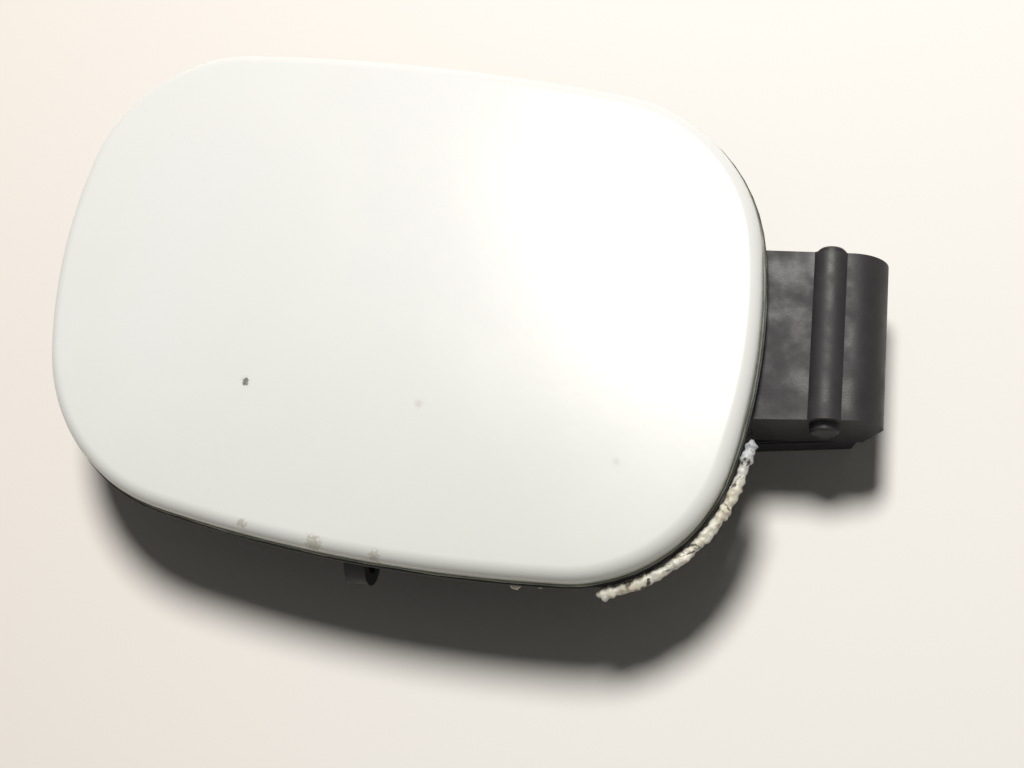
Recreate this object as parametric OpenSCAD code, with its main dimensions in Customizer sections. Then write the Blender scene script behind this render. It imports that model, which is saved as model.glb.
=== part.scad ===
// Fuel filler flap with its gooseneck hinge, lying face up.
// Origin on the hinge's mounting plane, under the middle of the pin.
// X runs away from the flap, Y along the pin, Z out of the painted face.

/* [Flap outline] */
// Middle of the flap from the pin, towards the free end
flap_x = -96.15; // [-120:0.05:-80]
// Middle of the flap along the pin
flap_y = 4.43; // [-20:0.01:20]
// Direction that each side faces: hinge side, upper, free end, lower (degrees)
side_face = [2.1, 81.7, 192.4, 262.5]; // [0:0.1:360]
// Distance from the flap's middle to each side
side_dist = [82.85, 57.3, 82.25, 58.4]; // [30:0.05:150]
// Radius of each side's bow
side_bow = [125.5, 535, 117.3, 369.5]; // [80:0.5:2000]
// Radius of the corners that follow each side
corner_r = [42.1, 36.9, 45.6, 34.4]; // [10:0.1:60]

/* [Skin] */
// Thickness of the painted steel
skin_t = 1.0; // [0.7:0.05:1.5]
// Height of the skin's lower edge above the mounting plane
skin_z = 27.5; // [20:0.1:40]
// Height of the straight part of the skin's edge
rim_h = 1.7; // [0.5:0.1:6]
// Width of the rounded edge
round_w = 3.4; // [1:0.1:10]
// Height of the rounded edge
round_h = 3.0; // [1:0.1:10]
// Rise of the crown from the rounded edge to the middle
crown_h = 1.8; // [0:0.1:8]

/* [Inner panel] */
// How far the inner panel shows beyond the skin
lip = 0.7; // [0:0.05:2]
// Thickness of the inner panel
panel_t = 2.0; // [1:0.1:4]
// Height of the adhesive line between the panel and the skin
bead_h = 0.5; // [0.1:0.05:1]
// Thickness of the panel's ribs
rib_t = 1.8; // [1:0.1:4]
// Depth of the ribs under the panel
rib_h = 3.0; // [1:0.1:8]

/* [Hinge block] */
// Height of the pin's axis
pin_z = 20.2; // [15:0.1:30]
// Radius of the pin
pin_r = 1.5; // [1:0.05:3]
// Height of the block's flat top
top_z = 24; // [18:0.1:35]
// Thickness of the block's top
top_t = 2.0; // [1.5:0.1:4]
// End of the block towards the flap
block_x = -15.2; // [-20:0.1:-10]
// Furthest point of the block's nose
nose_x = 11.9; // [8:0.1:20]
// Radius where the top turns down into the nose
nose_r = 7.5; // [3:0.1:12]
// Half width of the block at the flap end
half_w = 18.9; // [15:0.1:25]
// Sideways draft of the block's walls (degrees)
draft = 1.6; // [0:0.1:5]
// Outer radius of the ridge over the pin
ridge_r = 5.1; // [4.5:0.1:7]
// Radius of the boss at each end of the pin
boss_r = 3.1; // [2.5:0.1:5]
// How far each boss stands out of the block's wall
boss_out = 2.0; // [0.5:0.1:4]
// Half width of the slot that the arm moves in
slot_w = 9.4; // [8:0.1:14]
// Top of the lower tier
tier_z = 7.0; // [4:0.1:10]
// Thickness of the gasket under the housing
gasket_t = 0.8; // [0.4:0.1:1.5]

/* [Hinge arm] */
// Width of the arm
arm_w = 17.8; // [12:0.1:26]
// Thickness of the arm
arm_t = 2.8; // [2:0.1:5]
// Inner radius of the gooseneck
neck_r = 16.2; // [15.8:0.1:20]
// Radius of the hub on the pin
hub_r = 3.5; // [3:0.1:6]
// Thickness of the link from the hub to the gooseneck
link_t = 3.0; // [2:0.1:5]
// How far the arm reaches under the flap
arm_x = -54; // [-80:0.5:-35]
// Width of the arm's foot under the flap
foot_w = 34; // [20:0.5:50]

/* [Underside] */
// Middle of the filler cap's holder
holder_at = [-120, 10]; // [-160:0.5:60]
// Inner radius of the holder's cradle
holder_r = 17; // [12:0.5:25]
// Half width of the holder's mouth
mouth_w = 12; // [6:0.5:16]
// Thickness of the cradle's wall
cradle_t = 2.6; // [1.5:0.1:4]
// Middle of the lock eye, along the flap, across it and above the mounting plane
eye_at = [-97.8, -53, 17.4]; // [-150:0.1:60]
// Width of the lock eye
eye_w = 4.8; // [3:0.1:12]
// Outer radius of the lock eye
eye_r = 5.2; // [4:0.1:8]
// Radius of the eye's hole for the lock's bolt
bolt_r = 2.6; // [1.5:0.1:4]
// Radius of the rubber buffers
buffer_r = 4.5; // [3:0.1:8]

/* [Fasteners] */
// Radius of the hole in the threaded inserts
thread_r = 2.1; // [1.5:0.05:4]
// Outer radius of the threaded inserts
insert_r = 3.2; // [2.5:0.05:5]
// Distance between the inserts, along the pin
insert_gap = 28.8; // [20:0.1:40]
// Place of the inserts along X
insert_x = 0; // [-8:0.1:1]
// Radius of the screws under the flap
screw_r = 1.5; // [1:0.05:3]
// Radius of their pan heads
head_r = 3.0; // [2:0.1:5]
// Radius of the screws that join the two tiers
tier_screw_r = 1.1; // [0.8:0.05:2]

/* [Sealer] */
// Radius of the sealer bead
sealer_r = 1.3; // [0.5:0.05:3]
// Distance of the bead's middle outside the skin
sealer_out = 2.05; // [1:0.05:4]
// Height of the bead's middle
sealer_z = 25.7; // [20:0.1:30]

/* [Fits] */
// Clearance between the pin and the arm's bushes, on the radius
pin_fit = 0.05; // [0.01:0.01:0.1]
// Clearance around screws and bolts, on the radius
screw_fit = 0.05; // [0.02:0.01:0.3]
// Gap between parts that move past each other
move_gap = 0.3; // [0.2:0.05:1]

/* [Hidden] */
$fn = 64;
STEPS = 12;
RINGS = 9;
DOME = 5;
CUT = 1;
flap_mid = [flap_x, flap_y];
panel_top = skin_z - bead_h;
panel_z = panel_top - panel_t;
round_top = skin_z + rim_h + round_h;
base_t = tier_z - gasket_t;
pin_half = half_w - 0.6;
arm_z = panel_z - arm_t;
cavity_r = hub_r + move_gap;
arm_screw_at = [[-27, 0], [-47, 11.5], [-47, -11.5]];
holder_screw_at = [[holder_at[0] - 7, holder_at[1]], [holder_at[0] + 7, holder_at[1]]];
eye_screw_at = [for (s = [-1, 1]) [eye_at[0] + s * 6.2, eye_at[1] + 9.5]];
buffer_at = [[-150, -31], [-150, 42], [-52, -40], [-46, 42]];
tier_screw_at = [[-10.8, 14.4], [-10.8, -14.4]];
insert_at = [for (s = [-1, 1]) [insert_x, s * insert_gap / 2]];

// Points and directions of the flap's outline, which is eight tangent arcs
function ray(a) = [cos(a), sin(a)];
function turn(v) = atan2(v[1], v[0]);
function side_mid(i) = flap_mid + (side_dist[i] - side_bow[i]) * ray(side_face[i]);
function corner_mid(k) =
    let (a = side_mid(k), b = side_mid((k + 1) % 4),
        ra = side_bow[k] - corner_r[k], rb = side_bow[(k + 1) % 4] - corner_r[k],
        span = norm(b - a), u = (b - a) / span,
        t = (ra * ra - rb * rb + span * span) / (2 * span),
        h = sqrt(ra * ra - t * t), n = [-u[1], u[0]],
        p = a + u * t + n * h, q = a + u * t - n * h,
        out = ray(side_face[k] + 45))
    (p - flap_mid) * out > (q - flap_mid) * out ? p : q;
SIDE = [for (i = [0:3]) side_mid(i)];
CORNER = [for (k = [0:3]) corner_mid(k)];
function wrap(a) = a > 180 ? a - 360 : a < -180 ? a + 360 : a;
function arc(c, r, a0, a1, n) = [for (k = [0:n - 1]) c + r * ray(a0 + wrap(a1 - a0) * k / n)];
function outline(out) = [for (i = [0:3])
    let (before = turn(CORNER[(i + 3) % 4] - SIDE[i]), after = turn(CORNER[i] - SIDE[i]),
        next = turn(CORNER[i] - SIDE[(i + 1) % 4]))
    each concat(arc(SIDE[i], side_bow[i] + out, before, after, STEPS),
        arc(CORNER[i], corner_r[i] + out, after, next, STEPS))];

// A closed surface through a stack of rings, each ring a list of points of one length
module stack(rings) {
    n = len(rings[0]);
    m = len(rings);
    points = [for (r = rings) each r];
    walls = [for (j = [0:m - 2]) for (i = [0:n - 1])
        let (k = (i + 1) % n)
        each [[j * n + i, (j + 1) * n + k, j * n + k], [j * n + i, (j + 1) * n + i, (j + 1) * n + k]]];
    first = [for (i = [0:n - 1]) i];
    last = [for (i = [n - 1:-1:0]) (m - 1) * n + i];
    polyhedron(points, concat(walls, [first, last]));
}

function level(flat, z) = [for (p = flat) [p[0], p[1], z]];
function drawn_in(flat, s) = [for (p = flat) flap_mid + s * (p - flap_mid)];

// Rings of the skin's face, from its lower edge up over the rounded edge to the crown
function skin_rings(wall) = concat(
    [level(outline(-wall), skin_z - (wall > 0 ? CUT : 0))],
    [for (k = [0:RINGS])
        let (a = 87 * k / RINGS)
        level(outline(-wall - (round_w - wall) * (1 - cos(a))), skin_z + rim_h + (round_h - wall) * sin(a))],
    [for (k = [1:DOME])
        let (s = 1 - k / (DOME + 0.4))
        level(drawn_in(outline(-round_w + 0.18), s), round_top - wall + crown_h * (1 - s * s))]);

module outer_skin() {
    color([0.93, 0.93, 0.91])
    difference() {
        stack(skin_rings(0));
        stack(skin_rings(skin_t));
    }
}

// A plate that follows the flap's outline
module outline_plate(out, z, h) {
    translate([0, 0, z])
    linear_extrude(h)
    polygon(outline(out));
}

module outline_ring(out, width, z, h) {
    difference() {
        outline_plate(out, z, h);
        outline_plate(out - width, z - CUT, h + 2 * CUT);
    }
}

module hem_bead() {
    color([0.50, 0.53, 0.47])
    outline_ring(0.3, 1.5, panel_top, bead_h);
}

// Bosses and holes for a set of screws that come up from below
module posts(places, r, z, h) {
    for (p = places)
        translate([p[0], p[1], z])
        cylinder(r = r, h = h);
}

module panel_ribs() {
    for (y = [-26, 34])
        translate([-158, y, panel_z - rib_h])
        cube([112, rib_t, rib_h + 0.1]);
    for (x = [-152, -62])
        translate([x, -25.9, panel_z - rib_h])
        cube([rib_t, 60.9, rib_h + 0.1]);
}

module inner_carrier() {
    deep = panel_top + 2.9;
    color([0.10, 0.10, 0.10])
    difference() {
        union() {
            outline_plate(lip, panel_z, panel_t);
            outline_ring(-skin_t - 0.4, 2, panel_top - 0.1, 2.4);
            outline_ring(-2.5, rib_t, panel_z - 1.6, 1.7);
            intersection() {
                outline_plate(-8, panel_z - rib_h, rib_h + 0.1);
                panel_ribs();
            }
            posts(arm_screw_at, 3.4, panel_top - 0.1, 3);
            posts(holder_screw_at, 3.4, panel_top - 0.1, 3);
            posts(eye_screw_at, 2.9, panel_top - 0.1, 2.6);
        }
        posts(arm_screw_at, screw_r + screw_fit, panel_z - CUT, deep - 1 - panel_z + CUT);
        posts(holder_screw_at, screw_r + screw_fit, panel_z - CUT, deep - 1 - panel_z + CUT);
        posts(eye_screw_at, screw_r + screw_fit, panel_z - CUT, deep - 1.4 - panel_z + CUT);
        posts(buffer_at, 2, panel_z - CUT, panel_t + 2 * CUT);
        translate([-neck_r - arm_t - 0.5, -arm_w / 2 - 0.5, panel_z - 3])
        cube([2 * arm_t, arm_w + 1, 3]);
        intersection() {
            eye_foot(0.3);
            translate([-200, -200, 0])
            cube([400, 400, panel_z]);
        }
    }
}

// Lumpy bead round the lower hinge-side corner, and the blobs that broke off it
function sealer_path() =
    let (side = turn(CORNER[3] - SIDE[0]))
    concat(arc(CORNER[3], corner_r[3] + sealer_out, -78, side, 26),
        arc(SIDE[0], side_bow[0] + sealer_out, side, side + 4, 4));
function lump(k) = sealer_r * (0.80 + 0.17 * sin(97 * k) + 0.12 * sin(211 * k + 40));
function heading(path, k) =
    let (a = path[max(k - 1, 0)], b = path[min(k + 1, len(path) - 1)])
    (b - a) / norm(b - a);

module seam_sealer() {
    path = sealer_path();
    last = len(path) - 1;
    sides = 10;
    rings = [for (k = [0:last])
        let (u = heading(path, k), across = [-u[1], u[0]],
            end = k == 0 || k == last ? 0.35 : 1, r = lump(k) * end)
        [for (i = [0:sides - 1])
            let (a = 360 * i / sides, w = path[k] + across * r * cos(a))
            [w[0], w[1], sealer_z + 0.85 * r * sin(a)]]];
    color([0.86, 0.83, 0.70])
    difference() {
        union() {
            stack(rings);
            for (p = [[-60.6, -57.3, 0.9], [-55.6, -56.7, 0.75], [-51, -55.9, 1.0]])
                translate([p[0], p[1], sealer_z])
                scale([1.5, 1, 0.8])
                sphere(r = p[2], $fn = 12);
        }
        outline_plate(lip, panel_z - 3, 8);
    }
}

// Half circle below and straight sides above
module slot_end(r, h) {
    circle(r = r);
    translate([-r, 0])
    square([2 * r, h]);
}

// Side view of the arm: hub, link and gooseneck
module arm_side() {
    bottom = neck_r + arm_t;
    difference() {
        union() {
            circle(r = hub_r);
            translate([-link_t / 2, -neck_r - 0.5])
            square([link_t, neck_r]);
            difference() {
                slot_end(bottom, panel_z - pin_z);
                slot_end(neck_r, panel_z);
                translate([link_t / 2, -2 * bottom])
                square(4 * bottom);
                translate([-2 * bottom, panel_z - pin_z])
                square(4 * bottom);
            }
        }
        circle(r = pin_r + pin_fit + 0.9);
    }
}

module lie_along_y(width) {
    rotate([90, 0, 0])
    linear_extrude(width, center = true)
    children();
}

module hinge_arm() {
    color([0.11, 0.11, 0.12])
    difference() {
        union() {
            translate([0, 0, pin_z])
            lie_along_y(arm_w)
            arm_side();
            translate([0, 0, arm_z])
            linear_extrude(arm_t)
            polygon([[-neck_r - 0.5, -arm_w / 2], [-neck_r - 0.5, arm_w / 2], [arm_x + 16, arm_w / 2],
                [arm_x + 12, foot_w / 2], [arm_x + 3, foot_w / 2], [arm_x, foot_w / 2 - 3],
                [arm_x, 3 - foot_w / 2], [arm_x + 3, -foot_w / 2], [arm_x + 12, -foot_w / 2],
                [arm_x + 16, -arm_w / 2]]);
            for (y = [1.5 - arm_w / 2, arm_w / 2 - 1.5])
                translate([-neck_r - arm_t, y + 1, arm_z])
                rotate([90, 0, 0])
                linear_extrude(2)
                polygon([[1, 1], [1, -6], [0, -6], [-8, 0], [-8, 1]]);
        }
        posts(arm_screw_at, screw_r + screw_fit, arm_z - CUT, arm_t + 2 * CUT);
    }
}

// Pan-head screw standing on its head, shank upwards
module pan_screw(shank_r, r, head, length) {
    cylinder(r = shank_r, h = length);
    difference() {
        translate([0, 0, -head])
        cylinder(r1 = r * 0.82, r2 = r, h = head);
        for (a = [0, 90])
            rotate(a)
            translate([-r * 0.55, -0.35, -head - CUT])
            cube([r * 1.1, 0.7, CUT + head * 0.55]);
    }
}

module arm_screws() {
    color([0.62, 0.62, 0.64])
    for (p = arm_screw_at)
        translate([p[0], p[1], arm_z])
        pan_screw(screw_r, head_r, 1.8, panel_top + 1.7 - arm_z);
}

module pivot_bushes() {
    color([0.85, 0.83, 0.76])
    for (s = [-1, 1])
        translate([0, s * (arm_w / 2 - 2.5), pin_z])
        lie_along_y(5)
        difference() {
            circle(r = pin_r + pin_fit + 0.9);
            circle(r = pin_r + pin_fit);
        }
}

module hinge_pin() {
    color([0.70, 0.70, 0.72])
    translate([0, 0, pin_z])
    rotate([90, 0, 0])
    cylinder(r = pin_r, h = 2 * pin_half, center = true);
}

// Closes the pin's bore at the upper end
module pin_plug() {
    long = half_w + block_x * tan(draft) + boss_out - pin_half;
    color([0.12, 0.11, 0.12])
    translate([0, pin_half, pin_z])
    rotate([-90, 0, 0]) {
        cylinder(r = pin_r, h = long - 0.5);
        translate([0, 0, long - 0.5])
        cylinder(r1 = pin_r, r2 = pin_r - 0.4, h = 0.4);
    }
}

// Side view of the housing: flat top, nose and sloping end
module housing_side() {
    lean = 4.3;
    difference() {
        translate([block_x, tier_z])
        square([nose_x - block_x, top_z - tier_z]);
        difference() {
            translate([nose_x - nose_r, top_z - nose_r])
            square(nose_r + CUT);
            translate([nose_x - nose_r, top_z - nose_r])
            circle(r = nose_r);
        }
        polygon([[nose_x, top_z - nose_r], [nose_x + CUT, top_z - nose_r], [nose_x + CUT, tier_z - CUT],
            [nose_x - lean - 0.4, tier_z - CUT]]);
    }
}

// Plan of the block, a little narrower at the nose
module block_plan(out) {
    less = (nose_x - block_x) * tan(draft);
    polygon([[block_x, half_w + out], [block_x, -half_w - out],
        [nose_x + CUT, less - half_w - out], [nose_x + CUT, half_w + out - less]]);
}

// Boss at one end of the pin with the tapered web under it
module end_boss(reach) {
    translate([0, 0, pin_z])
    rotate([90, 0, 0]) {
        cylinder(r = boss_r, h = reach - 0.5);
        translate([0, 0, reach - 0.5])
        cylinder(r1 = boss_r, r2 = boss_r - 0.5, h = 0.5);
    }
    rotate([90, 0, 0])
    linear_extrude(reach - 0.6)
    polygon([[-boss_r, pin_z], [boss_r, pin_z], [0.7, pin_z - 6.4], [-0.7, pin_z - 6.4]]);
}

module hinge_housing() {
    wall_y = half_w + block_x * tan(draft);
    reach = wall_y + boss_out;
    color([0.13, 0.12, 0.13])
    difference() {
        union() {
            intersection() {
                union() {
                    lie_along_y(2 * half_w + 4)
                    housing_side();
                    translate([0, 0, pin_z])
                    rotate([90, 0, 0])
                    cylinder(r = ridge_r, h = 2 * half_w + 4, center = true);
                }
                translate([0, 0, tier_z])
                linear_extrude(2 * top_z)
                block_plan(0);
            }
            for (s = [0, 180])
                rotate(s)
                end_boss(reach);
        }
        arm_slot();
        translate([0, 0, pin_z])
        rotate([90, 0, 0])
        cylinder(r = pin_r, h = 2 * pin_half, center = true);
        translate([0, pin_half - 0.1, pin_z])
        rotate([-90, 0, 0])
        cylinder(r = pin_r, h = boss_out + 4);
        posts(insert_at, insert_r - 0.5, tier_z - CUT, 8 + CUT);
        posts(tier_screw_at, tier_screw_r + screw_fit, tier_z - CUT, 8 + CUT);
        spring_slots();
    }
}

// Room for the arm inside the housing, open below and towards the flap
module arm_slot() {
    difference() {
        lie_along_y(2 * slot_w)
        difference() {
            union() {
                translate([block_x - CUT, tier_z - CUT])
                square([-block_x + CUT + 4.4, top_z - top_t - tier_z + CUT]);
                translate([4.3, tier_z - CUT])
                polygon([[0, 0], [0.5, 0], [4.6, 10], [4.6, 14.5], [3.2, 16], [0, 16]]);
                translate([0, pin_z])
                circle(r = cavity_r);
            }
            translate([1.8, 8.2])
            square([12, 3]);
        }
        for (s = [-1, 1])
            translate([4.9, s * (slot_w - 1) - 1, tier_z - CUT])
            cube([6, 2, 17]);
    }
}

// Upright slots in the housing's sides for the ears of the leaf spring
module spring_slots() {
    translate([3.98, -slot_w - 1.3, 12.9])
    cube([0.74, 2 * slot_w + 2.6, 6.2]);
}

module leaf_spring() {
    color([0.55, 0.56, 0.58])
    translate([4.05, 0, 0]) {
        translate([0, -slot_w - 1.2, 13])
        cube([0.6, 2 * slot_w + 2.4, 6]);
        translate([0, -6.5, 11.3])
        cube([0.6, 13, 10.2]);
    }
}

module open_stop() {
    color([0.16, 0.16, 0.16])
    translate([-12.5, -5, top_z - top_t - 1.1])
    cube([4.5, 10, 1.1]);
}

module closed_stop() {
    color([0.16, 0.16, 0.16])
    translate([1.8, -5, 8.2 + 3])
    cube([1.6, 10, 1.2]);
}

// Plan of the lower tier: a U that leaves the arm's slot open
module tier_plan(z, grow) {
    end = 5 + 1.6 * z / base_t;
    difference() {
        polygon([[block_x, half_w + 0.7 + grow], [block_x, -half_w - 0.7 - grow],
            [end, -half_w + 1 - grow], [end, half_w - 1 + grow]]);
        translate([block_x - CUT, -slot_w])
        square([2.2 - block_x + CUT, 2 * slot_w]);
    }
}

module base_plate() {
    color([0.15, 0.14, 0.15])
    difference() {
        linear_extrude(base_t)
        tier_plan(base_t, 0);
        rotate([90, 0, 0])
        linear_extrude(2 * half_w + 4, center = true)
        polygon([[5, -CUT], [9, -CUT], [9, base_t + CUT], [6.8, base_t + CUT]]);
        posts(insert_at, insert_r, -CUT, base_t + 2 * CUT);
        posts(tier_screw_at, tier_screw_r + screw_fit, -CUT, base_t + 2 * CUT);
        posts(tier_screw_at, 2.2, -CUT, 2 + CUT);
    }
}

module base_gasket() {
    color([0.05, 0.05, 0.05])
    translate([0, 0, base_t])
    difference() {
        linear_extrude(gasket_t)
        tier_plan(base_t, -0.3);
        posts(insert_at, insert_r - 0.5, -CUT, 3);
        posts(tier_screw_at, tier_screw_r + screw_fit, -CUT, 3);
    }
}

module base_screws() {
    color([0.62, 0.62, 0.64])
    for (p = tier_screw_at)
        translate([p[0], p[1], 2])
        pan_screw(tier_screw_r, 2.1, 1.4, 12);
}

module mount_inserts() {
    color([0.78, 0.66, 0.36])
    for (p = insert_at)
        translate([p[0], p[1], 0])
        difference() {
            cylinder(r = insert_r, h = base_t);
            translate([0, 0, -CUT])
            cylinder(r = thread_r, h = base_t + 2 * CUT);
        }
}

// Cradle that takes the filler cap's handle while the tank is filled
module cap_holder() {
    color([0.12, 0.12, 0.12])
    translate([holder_at[0], holder_at[1], 0])
    difference() {
        union() {
            translate([0, 0, panel_z - 2.4])
            cylinder(r = holder_r + cradle_t, h = 2.4);
            difference() {
                cylinder(r = holder_r + cradle_t, h = panel_z - 1);
                translate([0, 0, -CUT])
                cylinder(r = holder_r, h = panel_z);
                translate([-mouth_w, 0, -CUT])
                cube([2 * mouth_w, 2 * holder_r, panel_z - 2.4 + CUT]);
            }
            difference() {
                cylinder(r = holder_r + 0.1, h = 2);
                translate([0, 0, -CUT])
                cylinder(r = holder_r - 1.8, h = 4);
                translate([-mouth_w, 0, -CUT])
                cube([2 * mouth_w, 2 * holder_r, 4]);
            }
        }
        posts([[-7, 0], [7, 0]], screw_r + screw_fit, panel_z - 4, 6);
        posts([[-7, 0], [7, 0]], head_r + 0.3, panel_z - 2.4 - CUT, CUT + 0.6);
    }
}

module holder_screws() {
    color([0.62, 0.62, 0.64])
    for (p = holder_screw_at)
        translate([p[0], p[1], panel_z - 1.8])
        pan_screw(screw_r, head_r, 1.8, panel_t + 3.4);
}

// Flanged foot of the lock eye, and the pocket it takes in the panel's skirt
module eye_foot(grow) {
    translate([eye_at[0] - 10 - grow, eye_at[1] + 0.4 - grow, panel_z - 2.2 - grow])
    cube([20 + 2 * grow, 13 + 2 * grow, 2.2 + grow]);
}

// Eye under the lower edge that the lock's bolt passes through
module lock_eye() {
    color([0.08, 0.08, 0.08])
    difference() {
        union() {
            translate([eye_at[0] - eye_w / 2, eye_at[1], eye_at[2]])
            rotate([90, 0, 90])
            linear_extrude(eye_w) {
                circle(r = eye_r);
                polygon([[-1.2, 0], [eye_r, 0], [eye_r + 1.4, panel_z - eye_at[2] - 1], [-1.2, panel_z - eye_at[2] - 1]]);
            }
            translate([eye_at[0] - eye_w / 2, eye_at[1] - 1.2, panel_z - 3])
            cube([eye_w, 7, 3]);
            eye_foot(0);
            for (s = [-1, 1])
                translate([eye_at[0] + s * (eye_w / 2 - 0.8) - 0.8, eye_at[1] + eye_r - 1, panel_z])
                rotate([90, 0, 90])
                linear_extrude(1.6)
                polygon([[0, -1], [0, -8], [7, -1]]);
        }
        posts(eye_screw_at, screw_r + screw_fit, panel_z - 4, 6);
        translate([eye_at[0] - eye_w, eye_at[1], eye_at[2]])
        rotate([0, 90, 0])
        cylinder(r = bolt_r, h = 2 * eye_w);
    }
}

module eye_screws() {
    color([0.62, 0.62, 0.64])
    for (p = eye_screw_at)
        translate([p[0], p[1], panel_z - 2.2])
        pan_screw(screw_r, 2.6, 1.6, panel_t + 3.2);
}

module edge_buffers() {
    color([0.07, 0.07, 0.07])
    for (p = buffer_at)
        translate([p[0], p[1], panel_z - 4.2]) {
            cylinder(r1 = buffer_r - 1, r2 = buffer_r, h = 1.2);
            translate([0, 0, 1.2])
            cylinder(r = buffer_r, h = 3);
            cylinder(r = 1.95, h = 4.2 + panel_t + 0.8);
        }
}

outer_skin();
hem_bead();
inner_carrier();
seam_sealer();
hinge_arm();
arm_screws();
pivot_bushes();
hinge_pin();
pin_plug();
hinge_housing();
base_gasket();
base_plate();
base_screws();
mount_inserts();
leaf_spring();
open_stop();
closed_stop();
cap_holder();
holder_screws();
lock_eye();
eye_screws();
edge_buffers();
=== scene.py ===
"""Fuel filler flap with its hinge: materials, surface pieces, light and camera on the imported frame."""
import math
import random

import bpy
from mathutils import Matrix, Vector, noise

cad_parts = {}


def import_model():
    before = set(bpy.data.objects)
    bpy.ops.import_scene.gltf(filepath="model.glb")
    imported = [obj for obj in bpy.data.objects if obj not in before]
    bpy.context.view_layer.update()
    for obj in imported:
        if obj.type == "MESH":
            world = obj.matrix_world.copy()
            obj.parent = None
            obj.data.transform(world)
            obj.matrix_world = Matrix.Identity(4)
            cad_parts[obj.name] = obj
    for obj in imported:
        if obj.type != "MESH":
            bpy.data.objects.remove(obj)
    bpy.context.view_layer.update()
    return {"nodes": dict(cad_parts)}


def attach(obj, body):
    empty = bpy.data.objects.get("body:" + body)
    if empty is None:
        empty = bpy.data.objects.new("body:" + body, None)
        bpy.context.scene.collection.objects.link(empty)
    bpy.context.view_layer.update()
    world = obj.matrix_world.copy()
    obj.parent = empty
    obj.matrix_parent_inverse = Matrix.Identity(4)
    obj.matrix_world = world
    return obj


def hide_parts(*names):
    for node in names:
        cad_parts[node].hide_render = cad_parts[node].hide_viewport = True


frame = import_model()
scene = bpy.context.scene
scene.view_settings.view_transform = "Standard"
MM = 0.001

# ---------------------------------------------------------------- camera

CAMERA_AT = Vector((10.22, -99.52, 306.38)) * MM
CAMERA_AXES = (
    Vector((0.967163, 0.106559, -0.230729)),
    Vector((-0.033284, 0.953143, 0.300679)),
    Vector((0.251959, -0.283126, 0.925395)),
)


def make_camera():
    data = bpy.data.cameras.new("photo_camera")
    data.sensor_width = 36.0
    data.lens = 1400 / 1024 * 36.0
    data.clip_start = 0.01
    data.clip_end = 50.0
    cam = bpy.data.objects.new("photo_camera", data)
    turn = Matrix(CAMERA_AXES).transposed().to_4x4()
    cam.matrix_world = Matrix.Translation(CAMERA_AT) @ turn
    scene.collection.objects.link(cam)
    scene.camera = cam


make_camera()

# ---------------------------------------------------------------- outline
# The flap's outline is the same eight tangent arcs as in the CAD source, in millimetres.

MID = Vector((-96.15, 4.43))
SIDE_FACE = (2.1, 81.7, 192.4, 262.5)
SIDE_DIST = (82.85, 57.3, 82.25, 58.4)
SIDE_BOW = (125.5, 535.0, 117.3, 369.5)
CORNER_R = (42.1, 36.9, 45.6, 34.4)
SKIN_T, SKIN_Z, RIM_H = 1.0, 27.5, 1.7
ROUND_W, ROUND_H, CROWN_H = 3.4, 3.0, 1.8
LIP = 0.7


def ray(degrees):
    a = math.radians(degrees)
    return Vector((math.cos(a), math.sin(a)))


def heading(v):
    return math.degrees(math.atan2(v.y, v.x))


def wrap(a):
    return a - 360 if a > 180 else a + 360 if a < -180 else a


SIDES = [MID + (SIDE_DIST[i] - SIDE_BOW[i]) * ray(SIDE_FACE[i]) for i in range(4)]


def corner_middle(k):
    a, b = SIDES[k], SIDES[(k + 1) % 4]
    ra, rb = SIDE_BOW[k] - CORNER_R[k], SIDE_BOW[(k + 1) % 4] - CORNER_R[k]
    span = (b - a).length
    u = (b - a) / span
    t = (ra * ra - rb * rb + span * span) / (2 * span)
    h = math.sqrt(ra * ra - t * t)
    n = Vector((-u.y, u.x))
    out = ray(SIDE_FACE[k] + 45)
    p, q = a + u * t + n * h, a + u * t - n * h
    return p if (p - MID).dot(out) > (q - MID).dot(out) else q


CORNERS = [corner_middle(k) for k in range(4)]


def arc(middle, r, a0, a1, n):
    return [middle + r * ray(a0 + wrap(a1 - a0) * k / n) for k in range(n)]


def outline(out, n=40):
    points = []
    for i in range(4):
        before = heading(CORNERS[(i + 3) % 4] - SIDES[i])
        after = heading(CORNERS[i] - SIDES[i])
        following = heading(CORNERS[i] - SIDES[(i + 1) % 4])
        points += arc(SIDES[i], SIDE_BOW[i] + out, before, after, n)
        points += arc(CORNERS[i], CORNER_R[i] + out, after, following, n)
    return points


def mesh_object(name, verts, faces, material, smooth=True):
    mesh = bpy.data.meshes.new(name)
    mesh.from_pydata([Vector(v) * MM for v in verts], [], faces)
    mesh.update()
    if smooth:
        mesh.polygons.foreach_set("use_smooth", [True] * len(mesh.polygons))
    mesh.materials.append(material)
    obj = bpy.data.objects.new(name, mesh)
    scene.collection.objects.link(obj)
    return obj


def ring_faces(rings, n, closed=False):
    faces = []
    for j in range(rings if closed else rings - 1):
        a, b = j * n, (j + 1) % rings * n
        for i in range(n):
            k = (i + 1) % n
            faces.append((a + i, a + k, b + k, b + i))
    return faces


# ---------------------------------------------------------------- material helpers


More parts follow.
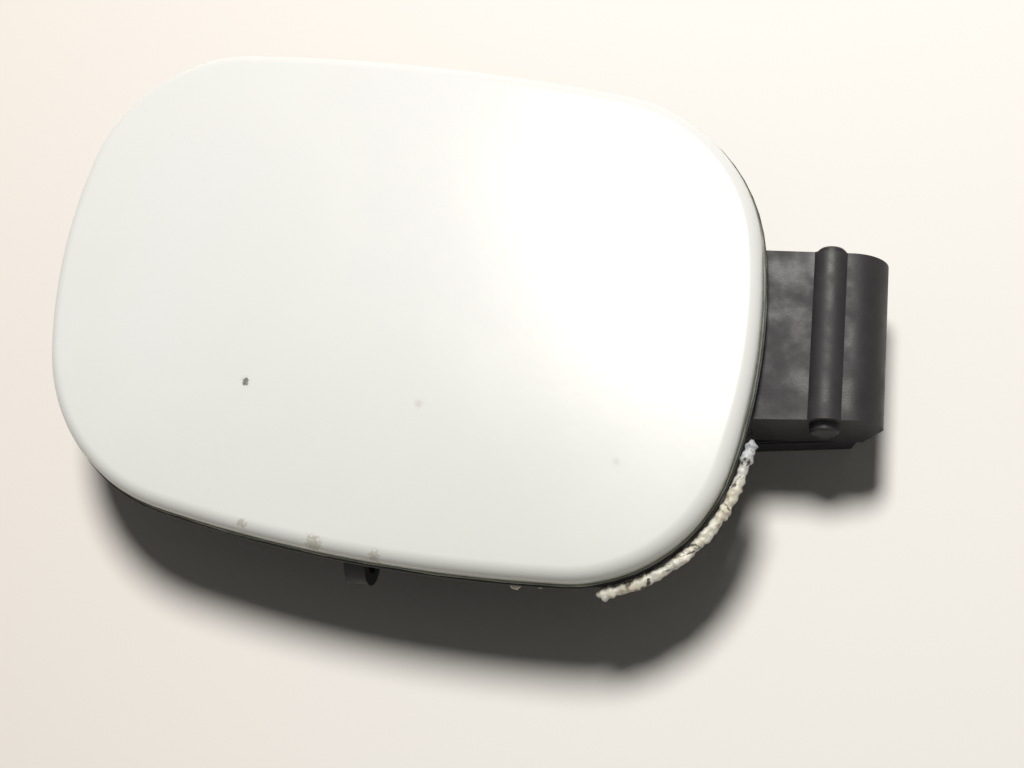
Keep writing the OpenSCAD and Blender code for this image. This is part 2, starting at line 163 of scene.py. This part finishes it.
class Mat:
    """A node material with the few calls that the looks below need."""

    def __init__(self, name, color, roughness=0.5, metallic=0.0, **sockets):
        self.mat = bpy.data.materials.new(name)
        self.mat.use_nodes = True
        self.nodes = self.mat.node_tree.nodes
        self.links = self.mat.node_tree.links
        self.shader = self.nodes["Principled BSDF"]
        self.set("Base Color", color)
        self.set("Roughness", roughness)
        self.set("Metallic", metallic)
        for key, value in sockets.items():
            self.set(key.replace("_", " "), value)
        self.where = self.nodes.new("ShaderNodeTexCoord").outputs["Object"]
        self.height = None

    def set(self, socket, value):
        if isinstance(value, tuple):
            value = (*value, 1.0)
        self.shader.inputs[socket].default_value = value

    def noise(self, scale, detail=3.0, rough=0.55, stretch=None, distortion=0.0):
        node = self.nodes.new("ShaderNodeTexNoise")
        node.inputs["Scale"].default_value = scale
        node.inputs["Detail"].default_value = detail
        node.inputs["Roughness"].default_value = rough
        node.inputs["Distortion"].default_value = distortion
        self.links.new(self.moved(stretch=stretch), node.inputs["Vector"])
        return node.outputs["Fac"]

    def voronoi(self, scale, feature="F1"):
        node = self.nodes.new("ShaderNodeTexVoronoi")
        node.feature = feature
        node.inputs["Scale"].default_value = scale
        self.links.new(self.where, node.inputs["Vector"])
        return node.outputs["Distance"]

    def moved(self, offset=None, stretch=None):
        if offset is None and stretch is None:
            return self.where
        node = self.nodes.new("ShaderNodeMapping")
        if offset is not None:
            node.inputs["Location"].default_value = [-c for c in offset]
        if stretch is not None:
            node.inputs["Scale"].default_value = stretch
        self.links.new(self.where, node.inputs["Vector"])
        return node.outputs["Vector"]

    def remap(self, value, low, high, to_low=0.0, to_high=1.0, smooth=True):
        node = self.nodes.new("ShaderNodeMapRange")
        node.interpolation_type = "SMOOTHSTEP" if smooth else "LINEAR"
        for key, v in (("From Min", low), ("From Max", high), ("To Min", to_low), ("To Max", to_high)):
            node.inputs[key].default_value = v
        self.links.new(value, node.inputs["Value"])
        return node.outputs["Result"]

    def math(self, kind, a, b=None, c=None):
        node = self.nodes.new("ShaderNodeMath")
        node.operation = kind
        for i, v in enumerate((a, b, c)):
            if v is None:
                continue
            if isinstance(v, (int, float)):
                node.inputs[i].default_value = v
            else:
                self.links.new(v, node.inputs[i])
        return node.outputs["Value"]

    def near(self, centre, radius, edge=0.6, ragged=0.35, scale=1500.0, squeeze=(1, 1, 0)):
        """1 inside a small ragged patch over a place on the part (millimetres, any height), 0 outside."""
        node = self.nodes.new("ShaderNodeVectorMath")
        node.operation = "LENGTH"
        mapping = self.nodes.new("ShaderNodeMapping")
        mapping.inputs["Scale"].default_value = [1000 * s for s in squeeze]
        mapping.inputs["Location"].default_value = [-c * s for c, s in zip(centre, squeeze)]
        self.links.new(self.where, mapping.inputs["Vector"])
        self.links.new(mapping.outputs["Vector"], node.inputs[0])
        shake = self.remap(self.noise(scale, 2.0), 0.2, 0.8, -ragged * radius, ragged * radius, smooth=False)
        dist = self.math("ADD", node.outputs["Value"], shake)
        return self.remap(dist, radius * (1 - edge), radius, 1.0, 0.0)

    def along(self, axis):
        node = self.nodes.new("ShaderNodeSeparateXYZ")
        self.links.new(self.where, node.inputs["Vector"])
        return node.outputs[axis]

    def facing(self, axis):
        """The part's own surface direction along X, Y or Z, from -1 to 1."""
        geo = self.nodes.new("ShaderNodeTexCoord")
        node = self.nodes.new("ShaderNodeSeparateXYZ")
        self.links.new(geo.outputs["Normal"], node.inputs["Vector"])
        return node.outputs[axis]

    def blend(self, fac, a, b):
        """Mixes two colours, each a tuple or a socket, by a socket."""
        node = self.nodes.new("ShaderNodeMix")
        node.data_type = "RGBA"
        for key, v in (("A", a), ("B", b)):
            socket = [s for s in node.inputs if s.name == key and s.type == "RGBA"][0]
            if isinstance(v, tuple):
                socket.default_value = (*v, 1.0)
            else:
                self.links.new(v, socket)
        factor = [s for s in node.inputs if s.name == "Factor" and s.type == "VALUE"][0]
        self.links.new(fac, factor)
        return [s for s in node.outputs if s.type == "RGBA"][0]

    def color(self, socket):
        self.links.new(socket, self.shader.inputs["Base Color"])
        self.last = socket

    def rough(self, socket):
        self.links.new(socket, self.shader.inputs["Roughness"])

    def bump(self, height, distance, strength=1.0):
        node = self.nodes.new("ShaderNodeBump")
        node.inputs["Distance"].default_value = distance
        node.inputs["Strength"].default_value = strength
        self.links.new(height, node.inputs["Height"])
        if self.height is not None:
            self.links.new(self.height, node.inputs["Normal"])
        self.height = node.outputs["Normal"]
        self.links.new(self.height, self.shader.inputs["Normal"])


# ---------------------------------------------------------------- materials


def white_paint():
    m = Mat("white_paint", (0.84, 0.84, 0.82), roughness=0.32)
    m.set("Coat Weight", 0.35)
    m.set("Coat Roughness", 0.28)
    m.set("Coat IOR", 1.5)
    clean = (0.845, 0.850, 0.832)
    haze_and_shade_tone = (0.765, 0.790, 0.745)
    dirt = (0.42, 0.36, 0.26)
    chip = (0.07, 0.065, 0.06)
    haze = m.remap(m.noise(22.0, 4.0, 0.6), 0.38, 0.72)
    # painted shade: the paint is blended greyer-green towards the skin's lower (-Y) side, and the haze noise adds
    # a real uneven tone to the same colour
    low = m.remap(m.along("Y"), 0.012, -0.052)
    color = m.blend(m.math("MULTIPLY", m.math("ADD", haze, low), 0.42), clean, haze_and_shade_tone)
    specks = m.remap(m.noise(900.0, 2.0), 0.74, 0.80, 0.0, 0.35)
    color = m.blend(specks, color, (0.60, 0.60, 0.54))
    # painted shade and dark reflection: the rounded edge is darkened where it turns down, broken up by noise
    edge = m.remap(m.facing("Z"), 0.55, 0.0)
    edge_shade = m.math("MULTIPLY", edge, m.remap(m.noise(160.0, 4.0, 0.65), 0.35, 0.75, 0.35, 1.0))
    color = m.blend(m.math("MULTIPLY", edge_shade, 0.75), color, (0.40, 0.41, 0.34))
    # rust-brown flecks low on the lower edge
    for spot in (((-104.2, -52.3, 29.0), 2.2), ((-90.3, -54.1, 29.0), 1.6), ((-121.0, -49.0, 28.6), 1.2)):
        color = m.blend(m.math("MULTIPLY", m.near(*spot, ragged=0.8), 0.55), color, dirt)
    # one chip down to the primer and two faint marks
    deep = m.near((-124.9, -17.65, 31.6), 0.85, 0.35, 0.45, 1900.0, (1.0, 0.85, 0.0))
    color = m.blend(m.math("MULTIPLY", deep, 0.9), color, chip)
    ring = m.near((-124.9, -17.4, 31.6), 1.7, 0.8)
    color = m.blend(m.math("MULTIPLY", ring, 0.22), color, (0.45, 0.44, 0.40))
    color = m.blend(m.math("MULTIPLY", m.near((-84.0, -21.15, 32.0), 1.5, 0.9), 0.30), color, (0.42, 0.40, 0.36))
    color = m.blend(m.math("MULTIPLY", m.near((-40.6, -31.45, 31.6), 1.3, 0.9), 0.22), color, (0.42, 0.42, 0.36))
    m.color(color)
    m.rough(m.math("ADD", m.remap(haze, 0.0, 1.0, 0.26, 0.40), m.math("MULTIPLY", deep, 0.4)))
    m.bump(m.noise(420.0, 1.0, 0.5), 0.00001)
    m.bump(m.math("SUBTRACT", 1.0, deep), 0.00012)
    return m.mat


def moulded(name, color, worn, rough, grain=2600.0, deep=0.00003):
    """Black moulded plastic: fine grain, a little dust on top and slight wear."""
    m = Mat(name, color, roughness=rough)
    m.set("Specular IOR Level", 0.35)
    cloud = m.remap(m.noise(70.0, 5.0, 0.62), 0.35, 0.70)
    tone = m.blend(m.math("MULTIPLY", cloud, 0.25), color, worn)
    dust = m.math("MULTIPLY", m.remap(m.facing("Z"), 0.2, 0.95), m.remap(m.noise(260.0, 4.0, 0.7), 0.45, 0.75))
    tone = m.blend(m.math("MULTIPLY", dust, 0.06), tone, (0.13, 0.122, 0.115))
    m.color(tone)
    m.rough(m.remap(m.noise(150.0, 3.0), 0.3, 0.7, rough - 0.08, rough + 0.12))
    m.bump(m.noise(grain, 2.0, 0.6), deep)
    return m


def block_plastic():
    m = moulded("block_plastic", (0.018, 0.016, 0.018), (0.036, 0.032, 0.035), 0.50)
    m.bump(m.noise(90.0, 2.0), 0.00008)
    return m.mat


def panel_plastic():
    return moulded("panel_plastic", (0.010, 0.010, 0.010), (0.022, 0.021, 0.020), 0.52).mat


def rubber(name, color):
    m = Mat(name, color, roughness=0.78)
    m.set("Specular IOR Level", 0.35)
    bloom = m.remap(m.noise(180.0, 4.0, 0.65), 0.4, 0.75)
    m.color(m.blend(m.math("MULTIPLY", bloom, 0.5), color, tuple(c * 2.2 + 0.01 for c in color)))
    m.bump(m.noise(1800.0, 3.0), 0.00004)
    return m.mat


def adhesive():
    m = Mat("hem_adhesive", (0.30, 0.32, 0.26), roughness=0.62)
    tone = m.blend(m.remap(m.noise(70.0, 3.0), 0.35, 0.65), (0.16, 0.18, 0.14), (0.36, 0.38, 0.30))
    brown = m.remap(m.noise(48.0, 4.0, 0.7), 0.60, 0.68)
    tone = m.blend(m.math("MULTIPLY", brown, 0.85), tone, (0.045, 0.030, 0.018))
    m.color(tone)
    m.bump(m.noise(1300.0, 3.0), 0.00008)
    return m.mat


def sealer():
    m = Mat("sealer_lumps", (0.62, 0.60, 0.50), roughness=0.42)
    m.set("Subsurface Weight", 0.12)
    m.set("Subsurface Scale", 0.001)
    cream = m.blend(m.remap(m.noise(240.0, 4.0, 0.6), 0.3, 0.7), (0.66, 0.62, 0.49), (0.80, 0.79, 0.70))
    blue = m.remap(m.along("Y"), -0.038, -0.022)
    tone = m.blend(m.math("MULTIPLY", blue, 0.75), cream, (0.42, 0.46, 0.54))
    dark = m.remap(m.noise(330.0, 3.0, 0.6, distortion=0.6), 0.585, 0.64)
    tone = m.blend(m.math("MULTIPLY", dark, 0.9), tone, (0.05, 0.04, 0.028))
    m.color(tone)
    m.rough(m.remap(dark, 0.0, 1.0, 0.36, 0.75))
    m.bump(m.noise(1100.0, 4.0), 0.00025)
    return m.mat


def metal(name, color, rough, brushed=(1, 1, 1), stain=(0.10, 0.08, 0.06)):
    m = Mat(name, color, roughness=rough, metallic=1.0)
    spots = m.remap(m.noise(420.0, 4.0, 0.65), 0.60, 0.72, 0.0, 0.5)
    m.color(m.blend(spots, color, stain))
    m.rough(m.remap(m.noise(600.0, 3.0), 0.3, 0.7, rough - 0.07, rough + 0.15))
    m.bump(m.noise(1500.0, 2.0, 0.5, stretch=brushed), 0.00001)
    return m.mat


PAINT = white_paint()
BLOCK = block_plastic()
PANEL = panel_plastic()
RUBBER = rubber("black_rubber", (0.016, 0.016, 0.016))
GASKET = rubber("foam_gasket", (0.010, 0.010, 0.010))
BUSH = moulded("bush_plastic", (0.62, 0.60, 0.53), (0.50, 0.47, 0.40), 0.42).mat
STEEL = metal("zinc_plated_steel", (0.58, 0.58, 0.60), 0.34)
PIN_STEEL = metal("pin_steel", (0.62, 0.62, 0.64), 0.22, brushed=(1, 0.05, 1))
SPRING = metal("spring_steel", (0.42, 0.43, 0.45), 0.30, brushed=(1, 0.08, 1), stain=(0.05, 0.05, 0.07))
BRASS = metal("brass", (0.70, 0.52, 0.24), 0.30, stain=(0.22, 0.14, 0.06))
ADHESIVE = adhesive()
SEALER = sealer()

FINISH = {
    "inner_carrier": PANEL, "hinge_arm": BLOCK, "arm_screws": STEEL, "pivot_bushes": BUSH,
    "hinge_pin": PIN_STEEL, "pin_plug": BLOCK, "hinge_housing": BLOCK, "base_gasket": GASKET,
    "base_plate": BLOCK, "base_screws": STEEL, "mount_inserts": BRASS, "leaf_spring": SPRING,
    "open_stop": RUBBER, "closed_stop": RUBBER, "cap_holder": PANEL, "holder_screws": STEEL,
    "lock_eye": PANEL, "eye_screws": STEEL, "edge_buffers": RUBBER,
    "outer_skin": PAINT, "hem_bead": ADHESIVE, "seam_sealer": SEALER,
}
for node, material in FINISH.items():
    mesh = frame["nodes"][node].data
    mesh.materials.clear()
    mesh.materials.append(material)


def soften(node, width, angle=35.0):
    """Rounds a CAD node's sharp edges a little, as a mould leaves them."""
    obj = frame["nodes"][node]
    bevel = obj.modifiers.new("soft_edges", "BEVEL")
    bevel.width = width * MM
    bevel.segments = 2
    bevel.limit_method = "ANGLE"
    bevel.angle_limit = math.radians(angle)
    bevel.harden_normals = False


# ---------------------------------------------------------------- painted skin


def painted_skin():
    """The skin as one fine shell: folded lower edge, rounded edge and crowned face."""
    n = len(outline(0))
    top = SKIN_Z + RIM_H + ROUND_H
    rings = []
    half = SKIN_T / 2
    for k in range(9):
        a = math.radians(180 + 180 * k / 8)
        rings.append([(p.x, p.y, SKIN_Z + half + half * math.sin(a)) for p in outline(-half + half * math.cos(a))])
    for k in range(0, 21):
        a = math.radians(87 * k / 20)
        z = SKIN_Z + RIM_H + ROUND_H * math.sin(a)
        rings.append([(p.x, p.y, z) for p in outline(-ROUND_W * (1 - math.cos(a)))])
    inner_edge = outline(-ROUND_W + 0.18)
    steps = 26
    for k in range(1, steps):
        s = 1 - k / steps
        z = top + CROWN_H * (1 - s * s)
        rings.append([(*(MID + s * (p - MID)), z) for p in inner_edge])
    verts = [v for ring in rings for v in ring]
    faces = ring_faces(len(rings), n)
    verts.append((*MID, top + CROWN_H))
    last = (len(rings) - 1) * n
    faces += [(last + i, last + (i + 1) % n, len(verts) - 1) for i in range(n)]
    # the hidden side of the sheet, one thickness below
    start = len(verts)
    under = []
    for k in range(0, 9):
        a = math.radians(87 * k / 8)
        z = SKIN_Z + RIM_H + (ROUND_H - SKIN_T) * math.sin(a)
        under.append([(p.x, p.y, z) for p in outline(-SKIN_T - (ROUND_W - SKIN_T) * (1 - math.cos(a)))])
    for k in range(1, 9):
        s = 1 - k / 9
        z = top - SKIN_T + CROWN_H * (1 - s * s)
        under.append([(*(MID + s * (p - MID)), z) for p in inner_edge])
    verts += [v for ring in under for v in ring]
    verts.append((*MID, top - SKIN_T + CROWN_H))
    faces += [tuple(start + i for i in reversed(f)) for f in ring_faces(len(under), n)]
    last = start + (len(under) - 1) * n
    faces += [(last + (i + 1) % n, last + i, len(verts) - 1) for i in range(n)]
    faces += [(i, start + i, start + (i + 1) % n, (i + 1) % n) for i in range(n)]
    obj = mesh_object("painted_skin", verts, faces, PAINT)
    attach(obj, "flap")
    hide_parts("outer_skin")


painted_skin()

# ---------------------------------------------------------------- adhesive line


def tube(name, path, radii, material, sides=12, closed=True, squash=1.0, seed=0.0, rough=0.0):
    """A lumpy bead along a path of (x, y, z) points."""
    count = len(path)
    verts = []
    for k, p in enumerate(path):
        a = path[(k - 1) % count if closed else max(k - 1, 0)]
        b = path[(k + 1) % count if closed else min(k + 1, count - 1)]
        along = (b - a).normalized()
        side = Vector((-along.y, along.x, 0)).normalized()
        for i in range(sides):
            t = math.tau * i / sides
            spot = p + side * math.cos(t) + Vector((0, 0, math.sin(t)))
            r = radii[k] * (1 + rough * noise.noise(spot * 0.9 + Vector((seed, 0, 0))))
            verts.append(p + side * r * math.cos(t) + Vector((0, 0, squash * r * math.sin(t))))
    faces = ring_faces(count, sides, closed)
    if not closed:
        faces.append(tuple(reversed(range(sides))))
        faces.append(tuple((count - 1) * sides + i for i in range(sides)))
    return mesh_object(name, verts, faces, material)


def adhesive_line():
    flat = outline(0.02, 60)
    path = [Vector((p.x, p.y, SKIN_Z - 0.22)) for p in flat]
    radii = []
    for p in path:
        swell = noise.noise(p * 0.11) + 0.6 * noise.noise(p * 0.45 + Vector((7, 0, 0)))
        radii.append(0.36 + 0.14 * max(-1.0, min(1.0, swell)))
    obj = tube("adhesive_line", path, radii, ADHESIVE, sides=10)
    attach(obj, "flap")
    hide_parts("hem_bead")


adhesive_line()

# ---------------------------------------------------------------- sealer lumps


def sealer_pieces():
    random.seed(11)
    middle, r = CORNERS[3], CORNER_R[3] + 2.05
    side = heading(CORNERS[3] - SIDES[0])
    flat = arc(middle, r, -78, side, 130) + arc(SIDES[0], SIDE_BOW[0] + 2.05, side, side + 4, 30)
    path = [Vector((p.x, p.y, 25.7)) for p in flat]
    last = len(path) - 1
    radii = []
    for k, p in enumerate(path):
        lump = 1.05 + 0.30 * noise.noise(p * 0.35) + 0.22 * noise.noise(p * 1.1 + Vector((3, 1, 0)))
        ends = min(1.0, 0.3 + 0.35 * min(k, last - k) / 2)
        radii.append(1.12 * lump * ends)
    bead = tube("sealer_bead", path, radii, SEALER, sides=16, closed=False, squash=0.9, rough=0.45)
    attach(bead, "flap")
    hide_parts("seam_sealer")
    for i, (x, y, r) in enumerate(((-60.6, -57.1, 0.9), (-55.6, -56.6, 0.75), (-51.0, -55.8, 1.0))):
        bpy.ops.mesh.primitive_ico_sphere_add(subdivisions=3, radius=1.0)
        blob = bpy.context.object
        blob.name = f"sealer_blob_{i + 1}"
        for v in blob.data.vertices:
            d = v.co.normalized()
            f = 1 + 0.35 * noise.noise(d * 1.7 + Vector((5 * i, 2, 0)))
            v.co = Vector((x + 1.3 * r * f * d.x, y + r * f * d.y, 25.7 + 0.8 * r * f * d.z)) * MM
        blob.data.polygons.foreach_set("use_smooth", [True] * len(blob.data.polygons))
        blob.data.materials.append(SEALER)
        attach(blob, "flap")


sealer_pieces()

# ---------------------------------------------------------------- floor and light


def floor():
    bpy.ops.mesh.primitive_plane_add(size=12.0, location=(0, 0, -0.0002))
    ground = bpy.context.object
    ground.name = "table_top"
    m = Mat("table_paper", (0.93, 0.905, 0.865), roughness=0.9)
    m.set("Specular IOR Level", 0.1)
    # painted shade: the paper darkens and warms towards the left, standing in for the light falling off
    left_falloff_shade = m.remap(m.along("X"), -0.30, -0.02)
    color = m.blend(left_falloff_shade, (0.90, 0.845, 0.79), (0.945, 0.925, 0.885))
    m.color(color)
    ground.data.materials.append(m.mat)


def lamp(name, towards, distance, size, power, color):
    data = bpy.data.lights.new(name, "AREA")
    data.shape = "DISK"
    data.size = size
    data.energy = power
    data.color = color
    obj = bpy.data.objects.new(name, data)
    aim = Vector((-0.07, 0.0, 0.02))
    at = aim + Vector(towards).normalized() * distance
    obj.location = at
    obj.rotation_euler = (aim - at).to_track_quat("-Z", "Y").to_euler()
    scene.collection.objects.link(obj)


def world():
    w = bpy.data.worlds.new("studio")
    scene.world = w
    w.use_nodes = True
    nodes, links = w.node_tree.nodes, w.node_tree.links
    nodes.clear()
    out = nodes.new("ShaderNodeOutputWorld")
    mix = nodes.new("ShaderNodeMixShader")
    dim = nodes.new("ShaderNodeBackground")
    seen = nodes.new("ShaderNodeBackground")
    path = nodes.new("ShaderNodeLightPath")
    add = nodes.new("ShaderNodeMath")
    add.operation = "MAXIMUM"
    more = nodes.new("ShaderNodeMath")
    more.operation = "MAXIMUM"
    dim.inputs["Color"].default_value = (1.0, 0.97, 0.93, 1)
    dim.inputs["Strength"].default_value = 0.07
    seen.inputs["Color"].default_value = (0.95, 0.93, 0.90, 1)
    seen.inputs["Strength"].default_value = 0.7
    links.new(path.outputs["Is Camera Ray"], add.inputs[0])
    links.new(path.outputs["Is Glossy Ray"], add.inputs[1])
    links.new(add.outputs[0], more.inputs[0])
    links.new(path.outputs["Is Transmission Ray"], more.inputs[1])
    links.new(more.outputs[0], mix.inputs["Fac"])
    links.new(dim.outputs[0], mix.inputs[1])
    links.new(seen.outputs[0], mix.inputs[2])
    links.new(mix.outputs[0], out.inputs["Surface"])


floor()
world()
lamp("key", (0.03, 0.52, 1.0), 1.2, 0.34, 15.5, (1.0, 0.975, 0.94))

for node, width in (("hinge_housing", 0.35), ("base_plate", 0.25), ("inner_carrier", 0.2), ("lock_eye", 0.3),
                    ("hinge_arm", 0.3), ("cap_holder", 0.3)):
    soften(node, width)
